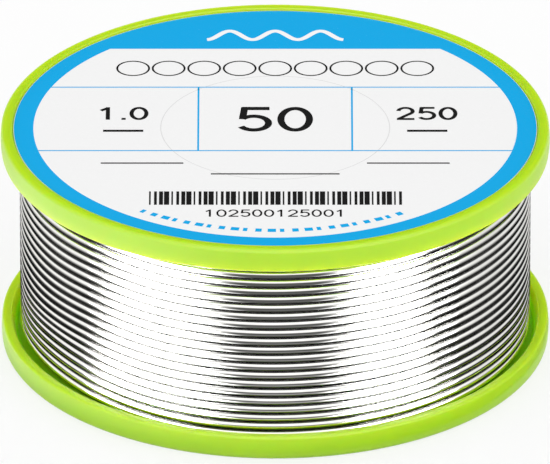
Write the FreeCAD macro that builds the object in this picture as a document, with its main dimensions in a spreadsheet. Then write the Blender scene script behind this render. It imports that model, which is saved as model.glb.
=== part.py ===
import FreeCAD, Part
import math
import os
import Sketcher
from FreeCAD import Placement, Rotation, Vector

# A spool of flux-cored solder wire, standing on its lower flange.
# The origin is the centre of the base, +Z runs up the hub's axis and -Y is the side that faces the viewer.
# The spool is two mouldings, each a flange with half of the hub, snapped together at half height.
# The wire fills the space between the flanges: a plain ring stands for the packed inner layers, and the
# outer layer is one unbroken tube that is drawn turn by turn.

SIZES = [
    ("flange_diameter", 60.0, "across the two rims"),
    ("spool_height", 25.6, "from the base to the top of the upper rim"),
    ("rim_thickness", 2.75, "height of each rim bead"),
    ("rim_width", 1.65, "radial width of the bead where it leaves the web"),
    ("rim_lean", 0.55, "how far the bead's inner wall leans outwards"),
    ("rim_bulge", 0.12, "how far the bead's side swells at half height"),
    ("rim_outer_round", 0.5, "corner round on the side away from the wire"),
    ("rim_inner_round", 0.3, "corner rounds on the side that faces the wire"),
    ("crest_round", 0.18, "round between the crest and the label recess"),
    ("recess_inset", 1.25, "from the flange's outside to the wall of the label recess"),
    ("recess_depth", 0.4, "depth of the outer recess that the label lies in"),
    ("web_thickness", 0.8, "the flange's flat web"),
    ("bore_diameter", 25.0, "the hub's bore, for a spindle"),
    ("barrel_wall", 1.8, "wall of the hub that the wire is wound on"),
    ("spigot_wall", 0.85, "wall of the spigot that enters the socket"),
    ("spigot_length", 4.0, "how far the spigot enters the socket"),
    ("joint_fit", 0.05, "radial clearance of the spigot in the socket"),
    ("joint_end_gap", 0.15, "gap past the spigot's end and beside the keys"),
    ("snap_height", 0.15, "how far the snap rib stands out of the spigot"),
    ("snap_width", 1.2, "width of the snap rib along the axis"),
    ("snap_offset", 1.2, "from the seam to the snap rib"),
    ("key_count", 3, "keys that stop the halves from turning"),
    ("key_width", 3.0, "width of a key"),
    ("key_length", 1.5, "how far a key reaches down into the spigot"),
    ("label_thickness", 0.12, "paper and adhesive"),
    ("label_margin", 0.15, "from the paper label's edge to the recess wall"),
    ("wire_diameter", 1.0, "the real wire"),
    ("winding_inset", 2.05, "from the flange's outside in to the real wire's outer layer"),
    ("turn_count", 22, "turns in the outer layer"),
    ("resting_turns", 0.5, "part of the first turn that lies flat on the lower web"),
    ("top_slack", 0.01, "gap from the last turn of the real wire to the upper web"),
    ("turn_gap", 0.435, "mean gap left between drawn turns, which the real wire fills"),
    ("wire_sides", 12, "flat sides of the drawn wire's section"),
    ("layer_clearance", 0.05, "gap round the packed inner layers"),
    ("bend_radius", 0.9, "bend of the wire at each end of the outer layer"),
    ("end_hole_clearance", 0.15, "gap round the real wire in its hole or slot"),
    ("climb_clearance", 0.25, "gap round the drawn wire where it goes in to the layer beneath"),
    ("start_hole_angle", 125.0, "place of the starting hole round the axis, from +X"),
    ("flux_share", 0.45, "diameter of the flux core over that of the wire"),
    ("flux_clearance", 0.01, "gap round the flux core"),
    ("gate_count", 3, "moulding gate marks on each web"),
    ("gate_diameter", 1.6, "gate mark across"),
    ("gate_depth", 0.12, "gate mark depth"),
    ("gate_circle", 39.0, "diameter of the circle of gate marks"),
]

FLANGE_R = "Sizes.flange_diameter / 2"
EDGE_R = "Sizes.flange_diameter / 2 - Sizes.rim_bulge"
SIDE_CURVE_R = "(Sizes.rim_thickness ^ 2 / 4 + Sizes.rim_bulge ^ 2) / (2 * Sizes.rim_bulge)"
RIM_ROOT_R = "Sizes.flange_diameter / 2 - Sizes.rim_width"
RIM_TOP_R = "Sizes.flange_diameter / 2 - Sizes.rim_width + Sizes.rim_lean"
RECESS_R = "Sizes.flange_diameter / 2 - Sizes.recess_inset"
LABEL_R = "Sizes.flange_diameter / 2 - Sizes.recess_inset - Sizes.label_margin"
BORE_R = "Sizes.bore_diameter / 2"
BARREL_R = "Sizes.bore_diameter / 2 + Sizes.barrel_wall"
SPIGOT_R = "Sizes.bore_diameter / 2 + Sizes.spigot_wall"
SOCKET_R = "Sizes.bore_diameter / 2 + Sizes.spigot_wall + Sizes.joint_fit"
WEB_INNER = "Sizes.recess_depth + Sizes.web_thickness"
SEAM = "Sizes.spool_height / 2"
SPIGOT_TOP = "Sizes.spool_height / 2 + Sizes.spigot_length"
SOCKET_TOP = "Sizes.spool_height / 2 + Sizes.spigot_length + Sizes.joint_end_gap"
SNAP_LOW = "Sizes.spool_height / 2 + Sizes.snap_offset"
SNAP_MIDDLE = "Sizes.spool_height / 2 + Sizes.snap_offset + Sizes.snap_width / 2"
SNAP_HIGH = "Sizes.spool_height / 2 + Sizes.snap_offset + Sizes.snap_width"
LINE_R = "Sizes.flange_diameter / 2 - Sizes.winding_inset - Sizes.wire_diameter / 2"
FIRST_TURN = "Sizes.recess_depth + Sizes.web_thickness + Sizes.wire_diameter / 2"
LAST_TURN = "Sizes.spool_height - (" + FIRST_TURN + ") - Sizes.top_slack"
RISING_TURNS = "Sizes.turn_count - Sizes.resting_turns"
PITCH = "((" + LAST_TURN + ") - (" + FIRST_TURN + ")) / (" + RISING_TURNS + ")"
DRAWN_WIRE = "(" + PITCH + ") - Sizes.turn_gap"
TAIL_END = FIRST_TURN + " - Sizes.bend_radius - (" + DRAWN_WIRE + ")"
FIRST_LAYER_R = "Sizes.bore_diameter / 2 + Sizes.barrel_wall + Sizes.wire_diameter / 2"


def make_sizes(document):
    """Puts the driving sizes in a spreadsheet, one alias to a row."""
    sheet = document.addObject("Spreadsheet::Sheet", "Sizes")
    for row, (alias, value, meaning) in enumerate(SIZES, start=1):
        sheet.set(f"A{row}", alias)
        sheet.set(f"B{row}", str(value))
        sheet.set(f"C{row}", meaning)
        sheet.setAlias(f"B{row}", alias)
    document.recompute()
    return sheet


def size(sheet, expression):
    """The number that an expression of the sheet's sizes stands for now."""
    return float(sheet.evalExpression(expression))


def origin_feature(body, role):
    """One of a body's own origin planes or axes."""
    return next(f for f in body.Origin.OriginFeatures if f.Role == role)


def new_body(document, label):
    """An empty body whose label names the piece."""
    body = document.addObject("PartDesign::Body", label)
    body.Label = label
    return body


def add_sketch(body, name, role, lift=None):
    """A sketch on one of the body's own origin planes, lifted along its normal by an expression."""
    sketch = body.newObject("Sketcher::SketchObject", name)
    sketch.AttachmentSupport = [(origin_feature(body, role), "")]
    sketch.MapMode = "FlatFace"
    if lift:
        sketch.setExpression("AttachmentOffset.Base.z", lift)
    return sketch


def bind_point(sheet, sketch, geometry, end, name, across, up):
    """Holds one sketch point at two expressions, measured from the sketch's origin.

    A sketch counts its own level axis as geometry -1, whose first point is the origin, and its
    upright axis as -2.
    """
    for kind, letter, expression, axis in (("DistanceX", "x", across, -2), ("DistanceY", "y", up, -1)):
        value = size(sheet, expression)
        if expression == "0":
            sketch.addConstraint(Sketcher.Constraint("PointOnObject", geometry, end, axis))
            continue
        index = sketch.addConstraint(Sketcher.Constraint(kind, -1, 1, geometry, end, value))
        sketch.renameConstraint(index, f"{name}_{letter}")
        sketch.setExpression(f"Constraints.{name}_{letter}", expression)


def draw_outline(sheet, sketch, corners):
    """Draws a closed outline through named corners.

    Each corner is (name, across, up) or (name, across, up, radius), where the radius makes the
    stretch from this corner to the next an arc that swells away from the sketch's upright axis.
    """
    points = [Vector(size(sheet, c[1]), size(sheet, c[2]), 0) for c in corners]
    ends = []
    for index, corner in enumerate(corners):
        here = points[index]
        there = points[(index + 1) % len(points)]
        if len(corner) == 3:
            sketch.addGeometry(Part.LineSegment(here, there), False)
            ends.append((1, 2))
            continue
        radius = size(sheet, corner[3])
        half_chord = (there - here).Length / 2
        swell = radius - math.sqrt(radius**2 - half_chord**2)
        middle = (here + there) / 2 + Vector(swell, 0, 0)
        sketch.addGeometry(Part.Arc(here, middle, there), False)
        starts_here = sketch.getPoint(index, 1).isEqual(here, 1e-6)
        ends.append((1, 2) if starts_here else (2, 1))
        limit = sketch.addConstraint(Sketcher.Constraint("Radius", index, radius))
        sketch.renameConstraint(limit, f"{corner[0]}_radius")
        sketch.setExpression(f"Constraints.{corner[0]}_radius", corner[3])
    for index in range(len(corners)):
        following = (index + 1) % len(corners)
        sketch.addConstraint(
            Sketcher.Constraint("Coincident", index, ends[index][1], following, ends[following][0])
        )
    for index, corner in enumerate(corners):
        bind_point(sheet, sketch, index, ends[index][0], corner[0], corner[1], corner[2])


def draw_circle(sheet, sketch, name, across, up, radius):
    """Adds a circle to a sketch, its centre and radius bound to expressions."""
    centre = Vector(size(sheet, across), size(sheet, up), 0)
    circle = Part.Circle(centre, Vector(0, 0, 1), size(sheet, radius))
    index = sketch.addGeometry(circle, False)
    bind_point(sheet, sketch, index, 3, name, across, up)
    limit = sketch.addConstraint(Sketcher.Constraint("Radius", index, size(sheet, radius)))
    sketch.renameConstraint(limit, f"{name}_radius")
    sketch.setExpression(f"Constraints.{name}_radius", radius)


def revolve(body, sketch, name):
    """Turns a sketch in the XZ plane once round the Z axis."""
    feature = body.newObject("PartDesign::Revolution", name)
    feature.Profile = sketch
    feature.ReferenceAxis = (sketch, ["V_Axis"])
    feature.Angle = 360
    sketch.Visibility = False
    return feature


def round_edges(document, sheet, body, name, circles, radius):
    """Rounds the circular edges that have these radii and heights."""
    document.recompute()
    base = body.Tip
    wanted = [(size(sheet, r), size(sheet, z)) for r, z in circles]
    found = []
    for number, edge in enumerate(base.Shape.Edges, start=1):
        if not isinstance(edge.Curve, Part.Circle):
            continue
        place = (edge.Curve.Radius, edge.Curve.Center.z)
        if any(math.dist(place, w) < 1e-4 for w in wanted):
            found.append(f"Edge{number}")
    feature = body.newObject("PartDesign::Fillet", name)
    feature.Base = (base, found)
    feature.setExpression("Radius", radius)
    return feature


def cut_up(body, sketch, name, depth):
    """Pockets a sketch upwards, along +Z, by a depth."""
    feature = body.newObject("PartDesign::Pocket", name)
    feature.Profile = sketch
    feature.Type = "Length"
    feature.Reversed = True
    feature.setExpression("Length", depth)
    sketch.Visibility = False
    return feature


def repeat_round(body, feature, name, count):
    """Repeats a feature evenly round the Z axis."""
    pattern = body.newObject("PartDesign::PolarPattern", name)
    pattern.Originals = [feature]
    pattern.Axis = (origin_feature(body, "Z_Axis"), [""])
    pattern.Angle = 360
    pattern.setExpression("Occurrences", count)
    body.Tip = pattern
    return pattern


def flange_corners(height_of):
    """The flange's share of a half's outline, from the bore's outer end to the hub's root."""
    return [
        ("bore_end", BORE_R, height_of("Sizes.recess_depth")),
        ("recess_corner", RECESS_R, height_of("Sizes.recess_depth")),
        ("crest_inside", RECESS_R, height_of("0")),
        ("crest_outside", EDGE_R, height_of("0"), SIDE_CURVE_R),
        ("rim_outside", EDGE_R, height_of("Sizes.rim_thickness")),
        ("rim_inside", RIM_TOP_R, height_of("Sizes.rim_thickness")),
        ("rim_root", RIM_ROOT_R, height_of(WEB_INNER)),
        ("hub_root", BARREL_R, height_of(WEB_INNER)),
        ("seam_outside", BARREL_R, SEAM),
    ]


def round_rim(document, sheet, body, height_of):
    """Rounds the corners of a flange's rim bead and of its label recess."""
    outer = [(EDGE_R, height_of("0"))]
    inner = [
        (EDGE_R, height_of("Sizes.rim_thickness")),
        (RIM_TOP_R, height_of("Sizes.rim_thickness")),
        (RIM_ROOT_R, height_of(WEB_INNER)),
    ]
    crest = [(RECESS_R, height_of("0"))]
    round_edges(document, sheet, body, "RimOuterRound", outer, "Sizes.rim_outer_round")
    round_edges(document, sheet, body, "RimInnerRound", inner, "Sizes.rim_inner_round")
    round_edges(document, sheet, body, "CrestRound", crest, "Sizes.crest_round")


def mark_gates(sheet, body, base, outward):
    """Sinks the moulding gate marks in the outer face of a web."""
    sketch = add_sketch(body, "GateMark", "XY_Plane", base)
    draw_circle(sheet, sketch, "gate", "Sizes.gate_circle / 2", "0", "Sizes.gate_diameter / 2")
    mark = body.newObject("PartDesign::Pocket", "GatePocket")
    mark.Profile = sketch
    mark.Type = "Length"
    mark.Reversed = outward < 0
    mark.setExpression("Length", "Sizes.gate_depth")
    sketch.Visibility = False
    return repeat_round(body, mark, "GateMarks", "Sizes.gate_count")


def make_lower_half(document, sheet):
    """The lower flange with the lower half of the hub, its spigot and the wire's two holes."""
    body = new_body(document, "lower_spool_half")

    def height_of(expression):
        return expression

    outline = add_sketch(body, "LowerHalfOutline", "XZ_Plane")
    corners = flange_corners(height_of) + [
        ("seam_inside", SPIGOT_R, SEAM),
        ("snap_low", SPIGOT_R, SNAP_LOW),
        ("snap_tip", SPIGOT_R + " + Sizes.snap_height", SNAP_MIDDLE),
        ("snap_high", SPIGOT_R, SNAP_HIGH),
        ("spigot_outside", SPIGOT_R, SPIGOT_TOP),
        ("spigot_inside", BORE_R, SPIGOT_TOP),
    ]
    draw_outline(sheet, outline, corners)
    revolve(body, outline, "LowerHalfTurned")
    round_rim(document, sheet, body, height_of)
    mark_gates(sheet, body, "Sizes.recess_depth", -1)

    slot = add_sketch(body, "KeySlot", "XY_Plane", SPIGOT_TOP + " - Sizes.key_length - Sizes.joint_end_gap")
    half_width = "Sizes.key_width / 2 + Sizes.joint_end_gap"
    reach = SOCKET_R + " + Sizes.spigot_wall"
    slot_corners = [
        ("inner_right", BORE_R + " - Sizes.spigot_wall", "-(" + half_width + ")"),
        ("outer_right", reach, "-(" + half_width + ")"),
        ("outer_left", reach, half_width),
        ("inner_left", BORE_R + " - Sizes.spigot_wall", half_width),
    ]
    draw_outline(sheet, slot, slot_corners)
    pocket = cut_up(body, slot, "KeySlotPocket", "Sizes.key_length + 2 * Sizes.joint_end_gap")
    repeat_round(body, pocket, "KeySlots", "Sizes.key_count")

    wire_gap = "Sizes.wire_diameter / 2 + Sizes.end_hole_clearance"
    start = add_sketch(body, "StartingHole", "XY_Plane", "Sizes.recess_depth")
    across = "(" + FIRST_LAYER_R + ") * cos(Sizes.start_hole_angle * 1 deg)"
    along = "(" + FIRST_LAYER_R + ") * sin(Sizes.start_hole_angle * 1 deg)"
    draw_circle(sheet, start, "start", across, along, wire_gap)
    cut_up(body, start, "StartingHolePocket", "Sizes.web_thickness")

    tie = add_sketch(body, "TieOffSlot", "XY_Plane", "Sizes.recess_depth")
    near = "-Sizes.end_hole_clearance"
    far = "Sizes.bend_radius + Sizes.wire_diameter / 2 + Sizes.end_hole_clearance"
    tie_corners = [
        ("near_in", near, "(" + LINE_R + ") - (" + wire_gap + ")"),
        ("far_in", far, "(" + LINE_R + ") - (" + wire_gap + ")"),
        ("far_out", far, "(" + LINE_R + ") + " + wire_gap),
        ("near_out", near, "(" + LINE_R + ") + " + wire_gap),
    ]
    draw_outline(sheet, tie, tie_corners)
    cut_up(body, tie, "TieOffSlotPocket", "Sizes.web_thickness")
    return body


def make_upper_half(document, sheet):
    """The upper flange with the upper half of the hub, its socket and its keys."""
    body = new_body(document, "upper_spool_half")

    def height_of(expression):
        return "Sizes.spool_height - (" + expression + ")"

    outline = add_sketch(body, "UpperHalfOutline", "XZ_Plane")
    corners = flange_corners(height_of) + [
        ("seam_inside", SOCKET_R, SEAM),
        ("groove_low", SOCKET_R, SNAP_LOW),
        ("groove_floor", SOCKET_R + " + Sizes.snap_height", SNAP_MIDDLE),
        ("groove_high", SOCKET_R, SNAP_HIGH),
        ("socket_outside", SOCKET_R, SOCKET_TOP),
        ("socket_inside", BORE_R, SOCKET_TOP),
    ]
    draw_outline(sheet, outline, corners)
    revolve(body, outline, "UpperHalfTurned")
    round_rim(document, sheet, body, height_of)
    mark_gates(sheet, body, height_of("Sizes.recess_depth"), 1)

    key = add_sketch(body, "Key", "XY_Plane", SPIGOT_TOP + " - Sizes.key_length")
    half_width = "Sizes.key_width / 2"
    reach = SOCKET_R + " + Sizes.snap_height"
    key_corners = [
        ("inner_right", BORE_R, "-" + half_width),
        ("outer_right", reach, "-" + half_width),
        ("outer_left", reach, half_width),
        ("inner_left", BORE_R, half_width),
    ]
    draw_outline(sheet, key, key_corners)
    pad = body.newObject("PartDesign::Pad", "KeyPad")
    pad.Profile = key
    pad.Type = "Length"
    pad.setExpression("Length", "Sizes.key_length + 2 * Sizes.joint_end_gap")
    key.Visibility = False
    repeat_round(body, pad, "Keys", "Sizes.key_count")
    return body


def add_cylinder(document, name, radius, height, base, across="0", along="0"):
    """An upright cylinder whose size and place are bound to expressions."""
    cylinder = document.addObject("Part::Cylinder", name)
    cylinder.setExpression("Radius", radius)
    cylinder.setExpression("Height", height)
    cylinder.setExpression("Placement.Base.x", across)
    cylinder.setExpression("Placement.Base.y", along)
    cylinder.setExpression("Placement.Base.z", base)
    return cylinder


def cut_out(document, label, base, tools):
    """The base less its tools, as one piece with a label of its own."""
    joined = tools[0]
    if len(tools) > 1:
        joined = document.addObject("Part::MultiFuse", label + "_tools")
        joined.Shapes = tools
    piece = document.addObject("Part::Cut", label)
    piece.Base = base
    piece.Tool = joined
    piece.Label = label
    return piece


def make_inner_layers(document):
    """The packed inner layers, a ring round the hub with a hole where the wire climbs out."""
    foot = WEB_INNER + " + Sizes.layer_clearance"
    tall = "Sizes.spool_height - 2 * (" + foot + ")"
    outside = "(" + LINE_R + ") - Sizes.wire_diameter / 2"
    ring = add_cylinder(document, "LayersOutside", outside, tall, foot)
    hub = add_cylinder(document, "LayersInside", "(" + BARREL_R + ") + Sizes.layer_clearance", tall, foot)
    climb = document.addObject("Part::Cylinder", "ClimbHole")
    climb.Placement = Placement(Vector(0, 0, 0), Rotation(Vector(1, 0, 0), -90))
    hole_floor = "(" + LINE_R + ") - Sizes.bend_radius - (" + DRAWN_WIRE + ") - Sizes.layer_clearance"
    climb.setExpression("Radius", "(" + DRAWN_WIRE + ") / 2 + Sizes.climb_clearance")
    climb.setExpression("Height", "Sizes.bend_radius + (" + DRAWN_WIRE + ") + Sizes.wire_diameter")
    climb.setExpression("Placement.Base.x", "-Sizes.bend_radius")
    climb.setExpression("Placement.Base.y", hole_floor)
    climb.setExpression("Placement.Base.z", LAST_TURN)
    return cut_out(document, "inner_wire_layers", ring, [hub, climb])


def turn_height(sheet, turns):
    """Height of the outer layer's centre line after so many turns.

    The line is an even helix with a lift that is largest over its start, where each turn has to
    pass above the one that rests on the lower web, and that fades out towards the upper web.
    """
    resting = size(sheet, "Sizes.resting_turns")
    pitch = size(sheet, PITCH)
    part = turns % 1
    share = 1 - part / resting if part < resting else (part - resting) / (1 - resting)
    fade = 1 - turns / size(sheet, "Sizes.turn_count")
    return size(sheet, FIRST_TURN) + pitch * (turns - resting) + pitch * resting * share * fade


def point_on_turns(sheet, turns):
    """A point of the outer layer's centre line and its direction there.

    The line starts at the back, on +Y, and climbs anticlockwise seen from above.
    """
    radius = size(sheet, LINE_R)
    angle = 2 * math.pi * turns + math.pi / 2
    point = Vector(radius * math.cos(angle), radius * math.sin(angle), turn_height(sheet, turns))
    before = max(turns - 0.01, 0)
    after = min(turns + 0.01, size(sheet, "Sizes.turn_count"))
    rise = (turn_height(sheet, after) - turn_height(sheet, before)) / (after - before)
    direction = Vector(-math.sin(angle), math.cos(angle), rise / (2 * math.pi * radius))
    return point, direction.normalize()


def arc_from(start, corner, end):
    """The arc that leaves start towards corner and arrives at end from it, both the same way off."""
    middle = (start + end) / 2
    inward = corner - middle
    reach = (corner - start).Length
    half_turn = math.asin(inward.Length / reach)
    depth = reach * math.cos(half_turn) / math.sin(half_turn) * (1 - math.cos(half_turn))
    return Part.Arc(start, middle + inward.normalize() * depth, end).toShape()


def biarc(start, leaving, end, arriving):
    """Two tangent arcs from one point and direction to another."""
    chord = end - start
    both = leaving + arriving
    spare = 2 * (1 - leaving.dot(arriving))
    along = chord.dot(both)
    reach = (math.sqrt(along**2 + spare * chord.dot(chord)) - along) / spare
    first_corner = start + leaving * reach
    second_corner = end - arriving * reach
    meeting = (first_corner + second_corner) / 2
    return [arc_from(start, first_corner, meeting), arc_from(meeting, second_corner, end)]


def outer_layer_path(sheet):
    """The centre line: up through the tie-off slot, round the winding and in to the layer beneath."""
    bend = size(sheet, "Sizes.bend_radius")
    straight = size(sheet, DRAWN_WIRE)
    steps_per_turn = 2
    steps = round(size(sheet, "Sizes.turn_count") * steps_per_turn)
    knots = [point_on_turns(sheet, step / steps_per_turn) for step in range(steps + 1)]
    first, last = knots[0][0], knots[-1][0]
    leaving, arriving = knots[0][1], knots[-1][1]
    down = Vector(0, 0, -1)
    inward = Vector(-last.x, -last.y, 0).normalize()

    corner = first - leaving * bend
    bottom = corner + down * bend
    edges = [Part.LineSegment(bottom + down * straight, bottom).toShape()]
    edges.append(arc_from(bottom, corner, first))
    for (here, leaving_here), (there, arriving_there) in zip(knots, knots[1:]):
        edges += biarc(here, leaving_here, there, arriving_there)
    corner = last + arriving * bend
    inside = corner + inward * bend
    edges.append(arc_from(last, corner, inside))
    edges.append(Part.LineSegment(inside, inside + inward * straight).toShape())
    return Part.Wire(edges)


def least_gap(sheet, path):
    """The least distance between stretches of the tube that aren't neighbours along it."""
    diameter = size(sheet, DRAWN_WIRE)
    spacing = diameter / 2
    points = path.discretize(Distance=spacing)
    apart = math.ceil(4 * diameter / spacing)
    cells = {}
    for index, point in enumerate(points):
        cell = tuple(math.floor(value / 2) for value in point)
        cells.setdefault(cell, []).append(index)
    nearest = math.inf
    around = [(i, j, k) for i in (-1, 0, 1) for j in (-1, 0, 1) for k in (-1, 0, 1)]
    for (x, y, z), members in cells.items():
        others = [n for i, j, k in around for n in cells.get((x + i, y + j, z + k), [])]
        for index in members:
            for other in others:
                if other - index > apart:
                    nearest = min(nearest, points[index].distanceToPoint(points[other]))
    return nearest - diameter


def wire_section(centre, radius, sides):
    """The drawn wire's many-sided section, level at its centre, with the area inside it."""
    turns = [2 * math.pi * side / sides for side in range(sides)]
    corners = [centre + Vector(math.cos(turn), math.sin(turn), 0) * radius for turn in turns]
    outline = Part.makePolygon(corners + corners[:1])
    return outline, Part.Face(outline).Area


def make_outer_layer(document, sheet):
    """The outer layer of wire, one unbroken tube whose free end is hollow for its flux core."""
    path = outer_layer_path(sheet)
    start = path.Edges[0].Vertexes[0].Point
    sides = round(size(sheet, "Sizes.wire_sides"))
    section, area = wire_section(start, size(sheet, DRAWN_WIRE) / 2, sides)
    shell = Part.BRepOffsetAPI.MakePipeShell(path)
    shell.add(section)
    shell.build()
    shell.makeSolid()
    tube = shell.shape()
    expected = area * path.Length
    print(f"outer layer: {path.Length:.1f} mm of wire, volume {tube.Volume:.2f} against {expected:.2f} mm3")
    print(f"outer layer: least gap to itself {least_gap(sheet, path):.3f} mm")
    hollow_radius = size(sheet, "(" + DRAWN_WIRE + ") * Sizes.flux_share / 2 + Sizes.flux_clearance")
    hollow = Part.makeCylinder(hollow_radius, size(sheet, DRAWN_WIRE), start)
    piece = document.addObject("Part::Feature", "outer_wire_layer")
    piece.Shape = tube.cut(hollow)
    piece.Label = "outer_wire_layer"
    piece.Placement = Placement()
    return piece


def make_start_end(document):
    """The wire's inner end, a short tube in the starting hole under the first layer."""
    across = "(" + FIRST_LAYER_R + ") * cos(Sizes.start_hole_angle * 1 deg)"
    along = "(" + FIRST_LAYER_R + ") * sin(Sizes.start_hole_angle * 1 deg)"
    tall = "(" + WEB_INNER + ") + Sizes.layer_clearance - (" + TAIL_END + ")"
    outside_radius = "(" + DRAWN_WIRE + ") / 2"
    outside = add_cylinder(document, "StartEndOutside", outside_radius, tall, TAIL_END, across, along)
    hollow_radius = "(" + DRAWN_WIRE + ") * Sizes.flux_share / 2 + Sizes.flux_clearance"
    hollow = add_cylinder(document, "StartEndHollow", hollow_radius, DRAWN_WIRE, TAIL_END, across, along)
    return cut_out(document, "wire_start_end", outside, [hollow])


def make_flux_core(document, label, across, along):
    """A length of the flux thread in one cut end of the wire."""
    core = add_cylinder(
        document, label, "(" + DRAWN_WIRE + ") * Sizes.flux_share / 2", DRAWN_WIRE, TAIL_END, across, along
    )
    core.Label = label
    return core


def make_label(document):
    """The round paper label in the upper flange's recess, over the bore."""
    label = add_cylinder(
        document,
        "front_label",
        LABEL_R,
        "Sizes.label_thickness",
        "Sizes.spool_height - Sizes.recess_depth",
    )
    label.Label = "front_label"
    return label


def check_document(document, pieces):
    """Stops at any feature that failed and at any piece that is empty or not sound."""
    for item in document.Objects:
        if any(word in item.State for word in ("Invalid", "Error")):
            raise RuntimeError(f"{item.Name} failed: {item.State}")
    for piece in pieces:
        if piece.Shape.isNull() or not piece.Shape.isValid():
            raise RuntimeError(f"{piece.Label} has no sound shape")


def main():
    """Builds the document, checks it and writes one file for each piece."""
    document = FreeCAD.newDocument("SolderWireSpool")
    sheet = make_sizes(document)
    start_across = "(" + FIRST_LAYER_R + ") * cos(Sizes.start_hole_angle * 1 deg)"
    start_along = "(" + FIRST_LAYER_R + ") * sin(Sizes.start_hole_angle * 1 deg)"
    pieces = [
        make_lower_half(document, sheet),
        make_upper_half(document, sheet),
        make_inner_layers(document),
        make_outer_layer(document, sheet),
        make_start_end(document),
        make_flux_core(document, "free_end_flux_core", "Sizes.bend_radius", LINE_R),
        make_flux_core(document, "start_end_flux_core", start_across, start_along),
        make_label(document),
    ]
    document.recompute()
    check_document(document, pieces)
    os.makedirs("parts", exist_ok=True)
    for piece in pieces:
        piece.Shape.exportStep(f"parts/{piece.Label}.step")
        box = piece.Shape.optimalBoundingBox()
        spans = f"x {box.XMin:.2f} to {box.XMax:.2f}, y {box.YMin:.2f} to {box.YMax:.2f}"
        amounts = f"{len(piece.Shape.Solids)} solid, {piece.Shape.Volume:.2f} mm3"
        print(f"{piece.Label}: {amounts}, {spans}, z {box.ZMin:.2f} to {box.ZMax:.2f}")


main()
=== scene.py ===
"""The looks of a full spool of flux-cored solder wire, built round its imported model."""

import logging
import math
from collections.abc import Callable, Mapping
from dataclasses import dataclass, field
from enum import Enum

import bpy
import numpy as np
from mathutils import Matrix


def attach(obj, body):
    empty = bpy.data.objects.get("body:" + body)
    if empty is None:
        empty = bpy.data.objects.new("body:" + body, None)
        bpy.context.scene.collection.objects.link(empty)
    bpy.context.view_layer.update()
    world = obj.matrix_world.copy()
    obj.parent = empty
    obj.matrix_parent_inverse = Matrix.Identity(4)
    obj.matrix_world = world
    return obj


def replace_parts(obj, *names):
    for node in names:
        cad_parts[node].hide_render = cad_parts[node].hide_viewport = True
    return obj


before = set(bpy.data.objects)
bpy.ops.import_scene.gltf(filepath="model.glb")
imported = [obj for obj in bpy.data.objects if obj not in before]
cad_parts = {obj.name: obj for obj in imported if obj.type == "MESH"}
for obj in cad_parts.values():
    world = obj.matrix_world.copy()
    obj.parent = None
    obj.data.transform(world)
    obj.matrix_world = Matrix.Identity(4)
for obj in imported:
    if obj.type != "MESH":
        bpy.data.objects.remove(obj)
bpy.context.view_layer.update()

MM = 0.001
BODY = "root"
PHOTO_WIDTH_PX = 550
FULL_TURN = 2 * math.pi

Ramp = tuple[float, float, float, float]

log = logging.getLogger("solder_spool")


class Slot(Enum):
    """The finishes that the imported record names."""

    PLASTIC = "green_plastic"
    SOLDER = "solder_alloy"
    FLUX = "flux_rosin"
    PAPER = "label_paper"


def linear(hex_code: str) -> tuple[float, float, float, float]:
    """Turns an sRGB hex colour to linear light.

    Args:
        hex_code: Six hex digits after a hash sign.

    Returns:
        Red, green, blue and an alpha of one.
    """
    parts = [int(hex_code[i : i + 2], 16) / 255 for i in (1, 3, 5)]
    light = [p / 12.92 if p <= 0.04045 else ((p + 0.055) / 1.055) ** 2.4 for p in parts]
    return (light[0], light[1], light[2], 1.0)


def add_node(
    tree: bpy.types.NodeTree, kind: str, inputs: Mapping[str | int, object] | None = None, **settings: object
) -> bpy.types.Node:
    """Adds one shader node with its settings, plain values and links.

    Args:
        tree: The node tree that gets the node.
        kind: The node's Blender type name.
        inputs: A value or another node's output socket for each input, by name or place.
        settings: Attributes of the node itself, such as its operation.

    Returns:
        The new node.
    """
    node = tree.nodes.new(kind)
    for name, value in settings.items():
        setattr(node, name, value)
    for key, value in (inputs or {}).items():
        if isinstance(value, bpy.types.NodeSocket):
            tree.links.new(value, node.inputs[key])
        else:
            node.inputs[key].default_value = value
    return node


def new_tree(name: str) -> tuple[bpy.types.Material, bpy.types.NodeTree]:
    """Makes a material with an empty node tree."""
    material = bpy.data.materials.new(name)
    material.use_nodes = True
    material.node_tree.nodes.clear()
    return material, material.node_tree


def new_material(name: str) -> tuple[bpy.types.Material, bpy.types.NodeTree, bpy.types.Node]:
    """Makes a material with a principled surface.

    Args:
        name: What the finish is really made of.

    Returns:
        The material, its node tree and its principled node.
    """
    material, tree = new_tree(name)
    surface = add_node(tree, "ShaderNodeBsdfPrincipled")
    add_node(tree, "ShaderNodeOutputMaterial", {"Surface": surface.outputs["BSDF"]})
    return material, tree, surface


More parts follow.
